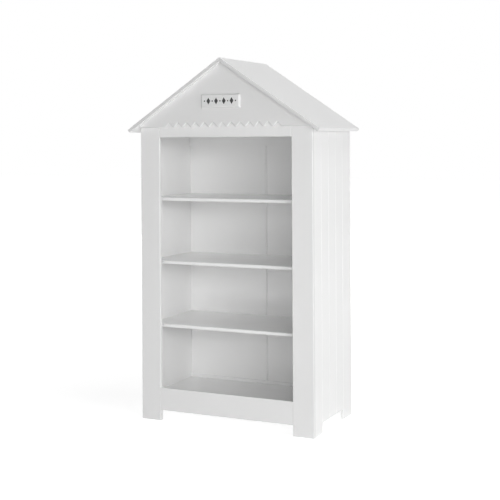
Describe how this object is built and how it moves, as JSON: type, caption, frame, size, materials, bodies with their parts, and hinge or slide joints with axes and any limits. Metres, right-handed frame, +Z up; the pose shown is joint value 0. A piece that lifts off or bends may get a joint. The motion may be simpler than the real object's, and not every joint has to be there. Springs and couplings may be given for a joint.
{
  "type": "bookcase",
  "caption": "House-shaped children's bookcase in white painted board: pitched roof, notched gable, grooved sides and open fixed shelves behind two broad front posts.",
  "frame": {"origin": "on the floor, at the middle of the width and depth of the whole piece, roof included", "axes": "+Z up to the ridge, -Y out of the open front, +X to the right of someone facing the front"},
  "size_m": [1, 0.53, 1.7379],
  "materials": {
    "frame_paint": "white paint, satin",
    "panel_paint": "white paint, satin",
    "roof_paint": "white paint, satin",
    "raw_wood": "bare planed wood",
    "motif_paint": "black paint, satin",
    "zinc": "dull die-cast zinc",
    "steel": "zinc-plated"
  },
  "bodies": {
    "root": {"left_post": "frame_paint", "right_post": "frame_paint", "lintel": "frame_paint", "plinth_rail": "frame_paint", "gable_board": "frame_paint", "gable_plaque": "frame_paint", "left_side_panel": "panel_paint", "right_side_panel": "panel_paint", "left_roof_board": "roof_paint", "right_roof_board": "roof_paint", "rear_gable": "panel_paint", "top_panel": "panel_paint", "bottom_panel": "panel_paint", "lower_shelf": "panel_paint", "middle_shelf": "panel_paint", "upper_shelf": "panel_paint", "left_back_panel": "panel_paint", "right_back_panel": "panel_paint", "back_rail": "panel_paint", "bottom_batten": "panel_paint", "front_left_cleat": "raw_wood", "front_right_cleat": "raw_wood", "rear_left_cleat": "raw_wood", "rear_right_cleat": "raw_wood", "cam_locks": "zinc", "cam_bolts": "steel", "frame_dowels": "raw_wood", "panel_dowels": "raw_wood", "gable_screws": "steel", "plaque_screws": "steel", "cleat_screws": "steel", "back_screws": "steel"}
  },
  "joints": []
}
